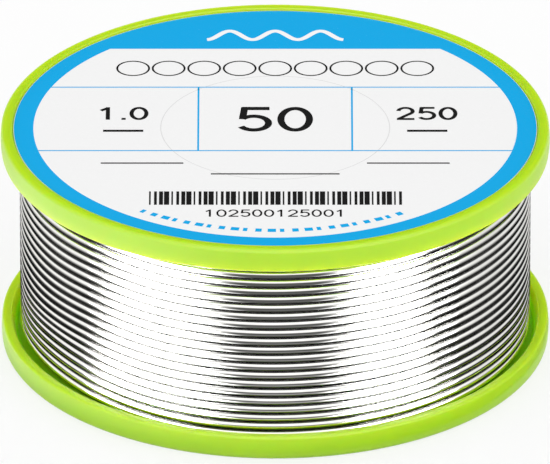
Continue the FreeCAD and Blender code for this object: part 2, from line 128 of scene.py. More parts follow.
@dataclass(frozen=True)
class MouldedStyrene:
    """High-impact polystyrene, injection-moulded in a polished tool.

    It is even in colour and faintly translucent, with a soft gloss and a slight orange-peel skin. In
    the narrow trench between the rims and the wire a brighter, purer green is painted into the colour:
    painted light that stands in for light coming through the plastic.
    """

    colour: str = "#AADA1B"
    deep_colour: str = "#A4D417"
    trench_painted_light_colour: str = "#96FF08"
    roughness: float = 0.36
    scuffed: tuple[float, float] = (-0.04, 0.05)
    refraction: float = 1.59
    cloud_mm: float = 9.0
    scuff_mm: float = 0.22
    peel_mm: float = 0.9
    peel_depth_mm: float = 0.0035
    translucence: float = 1.0
    glow_mm: float = 5.0
    glow_by_colour: tuple[float, float, float] = (1.15, 0.8, 0.06)
    trench_inside_mm: tuple[float, float] = (26.5, 27.4)
    trench_outside_mm: tuple[float, float] = (28.65, 28.4)
    trench_floor_mm: tuple[float, float] = (11.66, 11.6)
    middle_mm: float = 12.8

    def trench(self, tree: bpy.types.NodeTree, place: bpy.types.NodeSocket) -> bpy.types.NodeSocket:
        """One in the trench between the wire and the rims, where the painted light goes, and nought
        elsewhere.

        Args:
            tree: The material's node tree.
            place: Each point's place on the spool, in metres.

        Returns:
            The product of three smooth steps, two by radius and one by height above or below the middle.
        """
        axes = add_node(tree, "ShaderNodeSeparateXYZ", {"Vector": place}).outputs
        flat = add_node(tree, "ShaderNodeCombineXYZ", {"X": axes["X"], "Y": axes["Y"]}).outputs["Vector"]
        radius = add_node(tree, "ShaderNodeVectorMath", {0: flat}, operation="LENGTH").outputs["Value"]
        height = {0: axes["Z"], 1: self.middle_mm * MM}
        away = add_node(tree, "ShaderNodeMath", height, operation="SUBTRACT").outputs[0]
        depth = add_node(tree, "ShaderNodeMath", {0: away}, operation="ABSOLUTE").outputs[0]
        share = 1.0
        for value, (start, full) in (
            (radius, self.trench_inside_mm),
            (radius, self.trench_outside_mm),
            (depth, self.trench_floor_mm),
        ):
            span = {"Value": value, "From Min": start * MM, "From Max": full * MM}
            step = add_node(tree, "ShaderNodeMapRange", span, interpolation_type="SMOOTHSTEP")
            product = {0: share, 1: step.outputs["Result"]}
            share = add_node(tree, "ShaderNodeMath", product, operation="MULTIPLY").outputs[0]
        return share

    def make(self) -> bpy.types.Material:
        """Builds the lime plastic's material."""
        material, tree, surface = new_material("injection_moulded_polystyrene_lime")
        place = add_node(tree, "ShaderNodeTexCoord").outputs["Object"]
        cloud, scuff, peel = (
            add_node(
                tree, "ShaderNodeTexNoise", {"Vector": place, "Scale": 1 / (size * MM), "Detail": detail}
            ).outputs["Fac"]
            for size, detail in ((self.cloud_mm, 2.0), (self.scuff_mm, 4.0), (self.peel_mm, 3.0))
        )
        colour = linear(self.deep_colour)
        # The trench gets painted light: a brighter green that stands in for light passing through the
        # plastic.
        for factor, shade in ((cloud, self.colour), (self.trench(tree, place), self.trench_painted_light_colour)):
            shades = {"Factor": factor, 6: colour, 7: linear(shade)}
            colour = add_node(tree, "ShaderNodeMix", shades, data_type="RGBA").outputs[2]
        low, high = (self.roughness + change for change in self.scuffed)
        span = {"Value": scuff, "From Min": 0.3, "From Max": 0.7, "To Min": low, "To Max": high}
        gloss = add_node(tree, "ShaderNodeMapRange", span)
        relief = {"Height": peel, "Strength": 0.6, "Distance": self.peel_depth_mm * MM}
        skin = add_node(tree, "ShaderNodeBump", relief)
        tree.links.new(colour, surface.inputs["Base Color"])
        tree.links.new(gloss.outputs["Result"], surface.inputs["Roughness"])
        tree.links.new(skin.outputs["Normal"], surface.inputs["Normal"])
        surface.inputs["IOR"].default_value = self.refraction
        surface.inputs["Subsurface Weight"].default_value = self.translucence
        surface.inputs["Subsurface Radius"].default_value = self.glow_by_colour
        surface.inputs["Subsurface Scale"].default_value = self.glow_mm * MM
        return material


@dataclass(frozen=True)
class DrawnSolder:
    """Tin alloy wire, drawn bright through a die.

    It is a soft white metal that mirrors the room, with fine die lines along its length. Low on its
    underside and at its very top, where turns touch, painted shade lies between the turns: the colour
    is painted dark grey and its reflection at grazing angles is held dark.
    """

    colour: str = "#F0EFEC"
    dull_colour: str = "#E0DFDA"
    # Painted shade between the turns: a dark grey colour and a dark grazing reflection where the turns meet.
    painted_shade_colour: str = "#707070"
    painted_shade_edge: str = "#303030"
    roughness: float = 0.05
    hazed: tuple[float, float] = (0.01, -0.02)
    painted_shade_roughness: float = 0.07
    painted_shade_under: tuple[float, float] = (0.08, 0.36)
    painted_shade_over: tuple[float, float] = (-0.95, -1.0)
    wire_mm: float = 1.0
    die_line_mm: float = 0.07
    die_line_run_mm: float = 14.0
    die_line_depth_mm: float = 0.0009
    dull_patch_mm: float = 2.2

    def film(self, tree: bpy.types.NodeTree, chart: bpy.types.NodeSocket) -> bpy.types.NodeSocket:
        """One where the painted shade between neighbouring turns lies, and nought where the wire shines.

        Args:
            tree: The material's node tree.
            chart: The map, in millimetres along and round the wire.

        Returns:
            The greater of two smooth steps in the sine of the way down from the wire's outer side.
        """
        round_mm = add_node(tree, "ShaderNodeSeparateXYZ", {"Vector": chart}).outputs["Y"]
        turn = add_node(tree, "ShaderNodeMath", {0: round_mm, 1: 2 / self.wire_mm}, operation="MULTIPLY")
        downward = add_node(tree, "ShaderNodeMath", {0: turn.outputs[0]}, operation="SINE").outputs[0]
        under, over = (
            add_node(
                tree,
                "ShaderNodeMapRange",
                {"Value": downward, "From Min": start, "From Max": full},
                interpolation_type="SMOOTHSTEP",
            ).outputs["Result"]
            for start, full in (self.painted_shade_under, self.painted_shade_over)
        )
        return add_node(tree, "ShaderNodeMath", {0: under, 1: over}, operation="MAXIMUM").outputs[0]

    def make(self) -> bpy.types.Material:
        """Builds the wire's material, whose map runs in millimetres along and round the wire."""
        material, tree, surface = new_material("drawn_tin_alloy_wire")
        sources = add_node(tree, "ShaderNodeTexCoord").outputs
        stretch = {"Vector": sources["UV"], "Scale": (1 / self.die_line_run_mm, 1 / self.die_line_mm, 1.0)}
        along = add_node(tree, "ShaderNodeMapping", stretch).outputs["Vector"]
        lines = add_node(tree, "ShaderNodeTexNoise", {"Vector": along, "Scale": 1.0, "Detail": 2.0})
        relief = {"Height": lines.outputs["Fac"], "Strength": 0.5, "Distance": self.die_line_depth_mm * MM}
        groove = add_node(tree, "ShaderNodeBump", relief)
        cloud = {"Vector": sources["Object"], "Scale": 1 / (self.dull_patch_mm * MM), "Detail": 4.0}
        patch = add_node(tree, "ShaderNodeTexNoise", cloud).outputs["Fac"]
        # Mask of the painted shade that darkens the wire where the turns meet.
        painted_shade_mask = self.film(tree, sources["UV"])
        colour = linear(self.dull_colour)
        for factor, shade in ((patch, self.colour), (painted_shade_mask, self.painted_shade_colour)):
            shades = {"Factor": factor, 6: colour, 7: linear(shade)}
            colour = add_node(tree, "ShaderNodeMix", shades, data_type="RGBA").outputs[2]
        # The painted shade also holds the wire's grazing reflection dark.
        shades = {"Factor": painted_shade_mask, 6: linear("#FFFFFF"), 7: linear(self.painted_shade_edge)}
        edge = add_node(tree, "ShaderNodeMix", shades, data_type="RGBA").outputs[2]
        low, high = (self.roughness + change for change in self.hazed)
        span = {"Value": patch, "From Min": 0.35, "From Max": 0.7, "To Min": low, "To Max": high}
        haze = add_node(tree, "ShaderNodeMapRange", span).outputs["Result"]
        polish = {"Factor": painted_shade_mask, 2: haze, 3: self.painted_shade_roughness}
        gloss = add_node(tree, "ShaderNodeMix", polish).outputs[0]
        surface.inputs["Metallic"].default_value = 1.0
        tree.links.new(colour, surface.inputs["Base Color"])
        tree.links.new(edge, surface.inputs["Specular Tint"])
        tree.links.new(gloss, surface.inputs["Roughness"])
        tree.links.new(groove.outputs["Normal"], surface.inputs["Normal"])
        return material


@dataclass(frozen=True)
class RosinFlux:
    """Solid rosin flux, pressed in the middle of the wire: amber, hard and slightly cloudy."""

    colour: str = "#C8932F"
    deep_colour: str = "#A8741C"
    cloud_mm: float = 0.15
    roughness: float = 0.32
    refraction: float = 1.54

    def make(self) -> bpy.types.Material:
        """Builds the flux's material."""
        material, tree, surface = new_material("solid_rosin_flux")
        place = add_node(tree, "ShaderNodeTexCoord").outputs["Object"]
        cloud = {"Vector": place, "Scale": 1 / (self.cloud_mm * MM), "Detail": 2.0}
        share = add_node(tree, "ShaderNodeTexNoise", cloud).outputs["Fac"]
        shades = {"Factor": share, 6: linear(self.deep_colour), 7: linear(self.colour)}
        tint = add_node(tree, "ShaderNodeMix", shades, data_type="RGBA")
        tree.links.new(tint.outputs[2], surface.inputs["Base Color"])
        surface.inputs["Roughness"].default_value = self.roughness
        surface.inputs["IOR"].default_value = self.refraction
        return material


@dataclass(frozen=True)
class CoatedPaper:
    """Semi-gloss coated label paper: very even, with a trace of fibre under the coating."""

    colour: str = "#F4F4F4"
    fibre_colour: str = "#F0F0F0"
    fibre_mm: float = 0.35
    fibre_depth_mm: float = 0.002
    roughness: float = 0.38
    shine: float = 0.25

    def make(self) -> bpy.types.Material:
        """Builds the label stock's material."""
        material, tree, surface = new_material("coated_label_paper")
        place = add_node(tree, "ShaderNodeTexCoord").outputs["Object"]
        fleck = {"Vector": place, "Scale": 1 / (self.fibre_mm * MM), "Detail": 5.0}
        fibre = add_node(tree, "ShaderNodeTexNoise", fleck).outputs["Fac"]
        shades = {"Factor": fibre, 6: linear(self.fibre_colour), 7: linear(self.colour)}
        tint = add_node(tree, "ShaderNodeMix", shades, data_type="RGBA")
        relief = {"Height": fibre, "Strength": 0.3, "Distance": self.fibre_depth_mm * MM}
        tree.links.new(tint.outputs[2], surface.inputs["Base Color"])
        tree.links.new(add_node(tree, "ShaderNodeBump", relief).outputs["Normal"], surface.inputs["Normal"])
        surface.inputs["Roughness"].default_value = self.roughness
        surface.inputs["Specular IOR Level"].default_value = self.shine
        return material


@dataclass(frozen=True)
class PrintedInk:
    """Offset ink on the label: a thin even film, a little glossier than the paper."""

    name: str
    colour: str
    grain_mm: float = 0.25
    roughness: tuple[float, float] = (0.2, 0.3)
    shine: float = 0.15

    def make(self) -> bpy.types.Material:
        """Builds the ink's material, whose cover varies very slightly."""
        material, tree, surface = new_material(f"offset_ink_{self.name}")
        place = add_node(tree, "ShaderNodeTexCoord").outputs["Object"]
        speckle = {"Vector": place, "Scale": 1 / (self.grain_mm * MM), "Detail": 3.0}
        grain = add_node(tree, "ShaderNodeTexNoise", speckle).outputs["Fac"]
        low, high = self.roughness
        cover = add_node(tree, "ShaderNodeMapRange", {"Value": grain, "To Min": low, "To Max": high})
        tree.links.new(cover.outputs["Result"], surface.inputs["Roughness"])
        surface.inputs["Base Color"].default_value = linear(self.colour)
        surface.inputs["Specular IOR Level"].default_value = self.shine
        return material


@dataclass
class SurfaceSet:
    """Surfaces of one piece, each worked out as a grid of rings and joined in one mesh."""

    points: list[np.ndarray] = field(default_factory=list)
    faces: list[list[int]] = field(default_factory=list)
    chart: list[np.ndarray] = field(default_factory=list)
    count: int = 0

    def add(
        self,
        rings: np.ndarray,
        closed: bool = False,
        capped: bool = True,
        along: np.ndarray | None = None,
        around: np.ndarray | None = None,
    ) -> None:
        """Adds one surface S(i, j), where i runs along the piece and j round each ring.

        Each quad joins points j and j + 1 of rings i and i + 1, and every ring closes on itself. An
        open run of rings gets a fan of triangles to the mean point of its first and last ring.

        Args:
            rings: Points in millimetres, shaped (rings, points round a ring, 3).
            closed: Whether the last ring joins the first.
            capped: Whether the first and last rings are closed with fans.
            along: The map's first coordinate at each ring.
            around: The map's second coordinate at each point round a ring, and once more at its end.
        """
        rows, columns = rings.shape[:2]
        spans = rows if closed else rows - 1
        i, j = np.meshgrid(np.arange(spans), np.arange(columns), indexing="ij")
        ahead, beside = (i + 1) % rows, (j + 1) % columns
        corners = [i * columns + j, i * columns + beside, ahead * columns + beside, ahead * columns + j]
        quads = np.stack(corners, axis=-1).reshape(-1, 4) + self.count
        self.points.append(rings.reshape(-1, 3))
        self.faces.extend(quads.tolist())
        u = np.zeros(rows + 1) if along is None else np.append(along, along[-1])
        v = np.zeros(columns + 1) if around is None else around
        chart = [np.stack([u[a], v[b]], axis=-1) for a, b in ((i, j), (i, j + 1), (i + 1, j + 1), (i + 1, j))]
        self.chart.append(np.stack(chart, axis=2).reshape(-1, 2))
        first = self.count
        self.count += rows * columns
        if capped and not closed:
            self._cap(rings[0], first, first_ring=True)
            self._cap(rings[-1], first + (rows - 1) * columns, first_ring=False)

    def _cap(self, ring: np.ndarray, start: int, first_ring: bool) -> None:
        """Closes a ring, whose first point has the number start, with a fan to its mean point."""
        columns = len(ring)
        j = np.arange(columns)
        here, there = start + j, start + (j + 1) % columns
        middle = np.full(columns, self.count)
        fan = np.stack([middle, there, here] if first_ring else [middle, here, there], axis=-1)
        self.points.append(ring.mean(axis=0, keepdims=True))
        self.faces.extend(fan.tolist())
        self.chart.append(np.zeros((columns * 3, 2)))
        self.count += 1

    def make_mesh(
        self, name: str, material: bpy.types.Material, crease_deg: float = 40.0
    ) -> bpy.types.Object:
        """Makes an object of the surfaces, smooth but for edges sharper than the crease angle.

        Args:
            name: The object's name.
            material: Its finish.
            crease_deg: The angle past which an edge stays sharp, in degrees.

        Returns:
            The object, not yet in the scene.
        """
        mesh = bpy.data.meshes.new(name)
        mesh.from_pydata((np.concatenate(self.points) * MM).tolist(), [], self.faces)
        layer = mesh.uv_layers.new(name="UVMap")
        layer.data.foreach_set("uv", np.concatenate(self.chart).astype(np.float32).ravel())
        mesh.shade_smooth()
        mesh.set_sharp_from_angle(angle=math.radians(crease_deg))
        mesh.materials.append(material)
        mesh.validate()
        return bpy.data.objects.new(name, mesh)

    def make(self, name: str, material: bpy.types.Material, slot: Slot) -> bpy.types.Object:
        """Makes a piece of the spool in the given finish and sets it on the body."""
        return place_piece(self.make_mesh(name, material))


def place_piece(piece: bpy.types.Object) -> bpy.types.Object:
    """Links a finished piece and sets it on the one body."""
    if piece.name not in bpy.context.scene.collection.objects:
        bpy.context.scene.collection.objects.link(piece)
    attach(piece, BODY)
    log.info("%s: %d faces", piece.name, len(piece.data.polygons))
    return piece


def sweep(line: np.ndarray, normals: np.ndarray, radii: np.ndarray, sides: int) -> np.ndarray:
    """Carries a circle along a line.

    Ring i is line(i) + radius(i) * (cos(a) * N + sin(a) * B), where N is the given normal, made
    square to the direction T of the line, B = T x N, and a runs once round.

    Args:
        line: Points of the centre line, shaped (n, 3).
        normals: A direction beside the line at each point, shaped (n, 3).
        radii: The circle's radius at each point.
        sides: Points round each circle.

    Returns:
        The rings, shaped (n, sides, 3).
    """
    step = np.gradient(line, axis=0)
    direction = step / np.linalg.norm(step, axis=1, keepdims=True)
    beside = normals - (normals * direction).sum(axis=1, keepdims=True) * direction
    beside /= np.linalg.norm(beside, axis=1, keepdims=True)
    across = np.cross(direction, beside)
    turn = np.arange(sides) / sides * FULL_TURN
    circle = np.cos(turn)[None, :, None] * beside[:, None] + np.sin(turn)[None, :, None] * across[:, None]
    return line[:, None] + radii[:, None, None] * circle


def smooth_step(
    value: np.ndarray, low: float, high: float, start: float | np.ndarray = 0, end: float | np.ndarray = 1
) -> np.ndarray:
    """Goes from start at low to end at high by 3 s ** 2 - 2 s ** 3, where s is the share of the way."""
    share = np.clip((value - low) / (high - low), 0, 1)
    return start + (end - start) * share * share * (3 - 2 * share)


@dataclass
class SpoolBody:
    """The two moulded halves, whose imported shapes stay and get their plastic."""

    nodes: tuple[str, str] = ("lower_spool_half", "upper_spool_half")

    def dress(self, plastic: bpy.types.Material) -> None:
        """Gives both mouldings the plastic."""
        for node in self.nodes:
            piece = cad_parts[node]
            piece.data.materials[0] = plastic
            log.info("%s: keeps its packed shape", node)


@dataclass
class Winding:
    """The wire: its outer layer turn by turn, the layers beneath it and its two ends, in millimetres."""

    wire: float = 1.0
    line_radius: float = 27.45
    first_height: float = 1.7
    last_height: float = 23.84
    turns: int = 22
    resting_turns: float = 0.5
    ease: float = 0.15
    blur_steps: int = 17
    bend: float = 0.9
    tail_end: float = 0.2
    inner_run: float = 0.6
    steps_per_turn: int = 180
    sides: int = 24
    flux_share: float = 0.45
    flux_gap: float = 0.02
    flux_depth: float = 0.6
    cut_round: float = 0.06
    cut_step: float = 0.02
    cut_share: float = 0.3
    dome_depth: float = 0.05
    layer_inside: float = 14.35
    layer_low: float = 1.25
    layer_high: float = 24.35
    layer_swell: float = 0.45
    layer_rows: int = 221
    layer_sides: int = 180
    start_angle_deg: float = 125.0
    start_radius: float = 14.8
    waves: tuple[Ramp, Ramp] = ((0.02, 3.0, 0.21, 0.0), (0.012, 7.0, 0.34, 1.3))
    first_bows: tuple[float, float] = (0.4, 1.4)
    last_bows: tuple[float, float] = (0.3, 0.7)
    bow_heights: tuple[float, ...] = (2.2, 6.3, 7.3, 8.3, 10.4, 14.5, 18.6, 23.0)
    bow_bearings: tuple[float, ...] = (
        *(-180, -120, -90, -75, -70, -65, -60, -55, -50, -45, -35, -25, -15),
        *(0, 20, 45, 60, 75, 120, 180),
    )
    bow_chart: tuple[tuple[float, ...], ...] = (
        (0.06, *(0.0,) * 7),
        (0.55, 0.40, 0.30, 0.30, 0.30, 0.45, 0.50, 0.25),
        (0.80, 0.40, 0.22, 0.20, 0.30, 0.65, 0.75, 0.25),
        (0.97, 0.54, 0.32, 0.27, 0.40, 0.77, 0.87, 0.32),
        (1.04, 0.69, 0.44, 0.30, 0.31, 0.56, 0.74, 0.34),
        (1.08, 0.89, 0.63, 0.43, 0.36, 0.45, 0.65, 0.41),
        (1.04, 0.97, 0.74, 0.54, 0.44, 0.42, 0.48, 0.42),
        (0.95, 0.94, 0.80, 0.63, 0.55, 0.45, 0.44, 0.39),
        (0.80, 0.82, 0.78, 0.67, 0.67, 0.56, 0.50, 0.40),
        (0.63, 0.65, 0.67, 0.66, 0.68, 0.63, 0.60, 0.45),
        (0.42, 0.42, 0.42, 0.42, 0.42, 0.42, 0.42, 0.35),
        (0.20, 0.20, 0.20, 0.20, 0.20, 0.20, 0.20, 0.18),
        (0.14, 0.14, 0.15, 0.16, 0.17, 0.17, 0.16, 0.10),
        (0.12, 0.10, 0.13, 0.18, 0.18, 0.17, 0.15, 0.08),
        (0.12, 0.11, 0.14, 0.18, 0.18, 0.19, 0.17, 0.08),
        (0.14, 0.12, 0.15, 0.18, 0.18, 0.23, 0.22, 0.10),
        (0.15, 0.15, 0.15, 0.18, 0.17, 0.21, 0.18, 0.10),
        (0.07, 0.07, 0.10, 0.12, 0.17, 0.24, 0.22, 0.02),
        (0.15, 0.15, 0.15, 0.15, 0.20, 0.20, 0.20, 0.10),
        (0.06, *(0.0,) * 7),
    )

    def heights(self, turns: np.ndarray) -> np.ndarray:
        """Height of the centre line after so many turns from the back.

        It is an even helix, plus a lift over the place where each turn passes above the one that
        rests on the lower web, plus the small bows that hand and machine leave in a real winding.

        Args:
            turns: Turns from the start, at the back, anticlockwise seen from above.

        Returns:
            The heights in millimetres.
        """
        pitch = (self.last_height - self.first_height) / (self.turns - self.resting_turns)
        part = turns % 1
        rest = self.resting_turns
        share = np.where(part < rest, 1 - part / rest, (part - rest) / (1 - rest))
        swing = np.cos(np.pi * share)
        share = 0.5 - 0.5 * swing * (1 - self.ease * np.abs(swing))
        lift = pitch * rest * share * (1 - turns / self.turns)
        height = self.first_height + pitch * (turns - rest) + lift
        return height + self.bows(turns, height)

    def bows(self, turns: np.ndarray, height: np.ndarray) -> np.ndarray:
        """How far the turns stray from an even winding, in millimetres.

        Left of the front the turns climb, the lowest of them off the flange, and crowd where they come
        down again. They stray straight between the places of a small chart of bearings and heights,
        and everywhere they wave by a few hundredths: size * sin(times * angle + slant * height + start).
        """
        front = bearing_from_front(turns)
        chart = np.transpose(self.bow_chart)
        columns = np.array([np.interp(front, self.bow_bearings, column) for column in chart])
        place = np.interp(height, self.bow_heights, np.arange(len(self.bow_heights)))
        low = np.minimum(place.astype(int), len(self.bow_heights) - 2)
        share, each = place - low, np.arange(len(turns))
        stray = columns[low, each] * (1 - share) + columns[low + 1, each] * share
        angle = np.radians(front)
        wave = sum(
            size * np.sin(times * angle + slant * height + start) for size, times, slant, start in self.waves
        )
        last = smooth_step(self.turns - turns, *self.last_bows)
        return last * (stray + wave * smooth_step(turns, *self.first_bows))

    def outer_line(self) -> tuple[np.ndarray, np.ndarray]:
        """The outer layer's centre line and the direction beside it.

        The line goes straight up through the tie-off slot, turns a quarter circle into the helix,
        runs once round for each turn and turns a quarter circle in to the layer beneath.

        Returns:
            The points and the normals, each shaped (n, 3).
        """
        turns = np.linspace(0, self.turns, self.turns * self.steps_per_turn + 1)
        angle = turns * FULL_TURN + math.pi / 2
        height = self.heights(turns)
        kernel = np.hanning(self.blur_steps)
        padded = np.pad(height, self.blur_steps // 2, mode="reflect", reflect_type="odd")
        height = np.convolve(padded, kernel / kernel.sum(), mode="valid")
        flat = np.stack([np.cos(angle), np.sin(angle), np.zeros_like(angle)], axis=-1)
        right, back, up = np.eye(3)
        helix = flat * self.line_radius + height[:, None] * up

        quarter = np.linspace(0, math.pi / 2, 10)[:, None]
        start, stop = helix[0], helix[-1]
        rise = start - self.bend * up + self.bend * (np.cos(quarter) * right + np.sin(quarter) * up)
        straight = np.linspace([rise[0][0], rise[0][1], self.tail_end], rise[0], 5)[:-1]
        facing = np.cos(quarter) * back - np.sin(quarter) * right
        fall = stop - self.bend * back + self.bend * facing
        tail = np.linspace(fall[-1], fall[-1] - self.inner_run * back, 4)[1:]
        line = np.concatenate([straight, rise[:-1], helix, fall[1:], tail])

        upright = np.tile(back, (len(straight) + len(rise) - 1, 1))
        inward = np.tile(-right, (len(tail), 1))
        return line, np.concatenate([upright, flat, facing[1:], inward])

    def cut_end(self) -> np.ndarray:
        """Works out a cut end's profile: the hollow that holds the flux, the cut face and its rounded edge.

        Returns:
            Radii and heights, shaped (n, 2), with the cut face lowest.
        """
        hollow = self.wire * self.flux_share / 2 + self.flux_gap
        outside = self.wire / 2
        edge = self.cut_round * self.cut_share
        depths = np.array([self.flux_depth, self.cut_round, 0.0, 0.0, edge, self.cut_round])
        radii = [hollow, hollow, hollow + self.cut_step, outside - self.cut_round, outside - edge, outside]
        return np.stack([radii, self.tail_end + depths], axis=-1)

    def start_place(self) -> tuple[float, float]:
        """Where the wire's inner end stands, to the right and to the back."""
        angle = math.radians(self.start_angle_deg)
        return math.cos(angle) * self.start_radius, math.sin(angle) * self.start_radius

    def make_tube(self, name: str, rings: np.ndarray, solder: bpy.types.Material, node: str) -> None:
        """Makes a length of wire, whose map runs in millimetres along and round it.

        Args:
            name: The piece's name.
            rings: Its rings, shaped (n, sides, 3).
            solder: Its finish.
            node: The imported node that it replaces.
        """
        middles = rings.mean(axis=1)
        along = np.concatenate([[0.0], np.cumsum(np.linalg.norm(np.diff(middles, axis=0), axis=1))])
        tube = SurfaceSet()
        tube.add(rings, along=along, around=np.linspace(0, math.pi * self.wire, self.sides + 1))
        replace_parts(tube.make(name, solder, Slot.SOLDER), node)

    def make_outer_layer(self, solder: bpy.types.Material) -> None:
        """Makes the outer layer, one tube from the free end to the layer beneath."""
        line, normals = self.outer_line()
        rings = sweep(line, normals, np.full(len(line), self.wire / 2), self.sides)
        unit = (rings[0] - line[0]) / (self.wire / 2)
        radii, heights = self.cut_end().T[:, :, None, None]
        end = line[0] * [1, 1, 0] + radii * unit + heights * [0, 0, 1]
        self.make_tube("wound_outer_layer", np.concatenate([end, rings[1:]]), solder, "outer_wire_layer")

    def make_inner_layers(self, solder: bpy.types.Material) -> None:
        """Makes the layers beneath: a ring whose outside follows the next layer's turns.

        The outside is R - swell * (1 - |cos(pi * (z - z0) / pitch)| ** 0.5), which reads as round turns.
        """
        pitch = (self.last_height - self.first_height) / (self.turns - self.resting_turns)
        heights = np.linspace(self.layer_low, self.layer_high, self.layer_rows)
        outside = self.line_radius - self.wire / 2
        swell = np.abs(np.cos(math.pi * (heights - self.first_height - pitch / 2) / pitch)) ** 0.5
        radius = outside - self.layer_swell * self.wire * (1 - swell)
        radius[[0, -1]] = outside - self.wire / 2
        inside = [[self.layer_inside, self.layer_high], [self.layer_inside, self.layer_low]]
        profile = np.concatenate([np.stack([radius, heights], axis=-1), inside])
        packed = SurfaceSet()
        packed.add(turned(profile, self.layer_sides), closed=True)
        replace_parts(packed.make("packed_inner_layers", solder, Slot.SOLDER), "inner_wire_layers")

    def make_start_end(self, solder: bpy.types.Material) -> None:
        """Makes the wire's inner end, cut off square below its hole."""
        profile = np.concatenate([self.cut_end(), [[self.wire / 2, self.layer_low]]])
        rings = turned(profile, self.sides) + [*self.start_place(), 0]
        self.make_tube("wire_inner_end", rings, solder, "wire_start_end")

    def make_flux_cores(self, rosin: bpy.types.Material) -> None:
        """Makes the flux that shows in both cut ends: a short rod with a domed, slightly sunken face."""
        places = {
            "free_end_flux": ("free_end_flux_core", self.bend, self.line_radius),
            "inner_end_flux": ("start_end_flux_core", *self.start_place()),
        }
        radius = self.wire * self.flux_share / 2
        dome = np.linspace(0.15, 1, 5) * math.pi / 2
        profile = np.stack([radius * np.sin(dome), self.dome_depth * (1 - np.cos(dome))], axis=-1)
        profile = np.concatenate([profile, [[radius, self.flux_depth - 0.06]]]) + [0, self.tail_end + 0.01]
        for name, (node, x, y) in places.items():
            rod = SurfaceSet()
            rod.add(turned(profile, 20) + np.array([x, y, 0]))
            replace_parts(rod.make(name, rosin, Slot.FLUX), node)

    def make(self, solder: bpy.types.Material, rosin: bpy.types.Material) -> None:
        """Makes every piece of the wire."""
        self.make_outer_layer(solder)
        self.make_inner_layers(solder)
        self.make_start_end(solder)
        self.make_flux_cores(rosin)


def bearing_from_front(turns: np.ndarray) -> np.ndarray:
    """Degrees from the front, right positive, of a point so many turns from the back."""
    return (turns * 360) % 360 - 180


def turned(profile: np.ndarray, sides: int) -> np.ndarray:
    """Turns a profile of (radius, height) once round the upright axis.

    Point j of ring i is (radius(i) * cos(a), radius(i) * sin(a), height(i)), where a runs once round.
    A profile that climbs on its outer side has its faces pointing outwards.
    """
    turn = np.arange(sides) / sides * FULL_TURN
    around = np.stack([np.cos(turn), np.sin(turn)], axis=-1)
    flat = profile[:, None, 0:1] * around[None]
    return np.concatenate([flat, np.broadcast_to(profile[:, None, 1:2], flat.shape[:2] + (1,))], axis=-1)


class Ink(Enum):
    """The label's printed colours, and the pale grey of the painted shade in its perforation ring."""

    BLUE = PrintedInk("blue", "#00A8E6")
    BLACK = PrintedInk("black", "#181818")
    GREY = PrintedInk("painted_perforation_shade", "#DEDEDE")
    WHITE = PrintedInk("white", "#F4F4F4")


# The strokes of the digits that the label needs, in a cell one high: arcs are (x, y, half width, half
# height, first and last angle in degrees) and straight strokes are (x, y, x, y).
DIGITS: dict[str, tuple[tuple[float, ...], ...]] = {
    "0": ((0.3, 0.5, 0.3, 0.5, 0, 360),),
    "1": ((0.04, 0.76, 0.34, 1.0), (0.32, 1.06, 0.32, -0.06)),
    "2": ((0.3, 0.7, 0.29, 0.3, 175, -35), (0.55, 0.54, 0.04, 0.04), (-0.05, 0.0, 0.66, 0.0)),
    "5": ((0.62, 1.0, 0.05, 1.0), (0.1, 1.06, 0.05, 0.5), (0.29, 0.32, 0.31, 0.32, 140, -150)),
    ".": ((0.1, -0.07, 0.1, 0.1),),
}


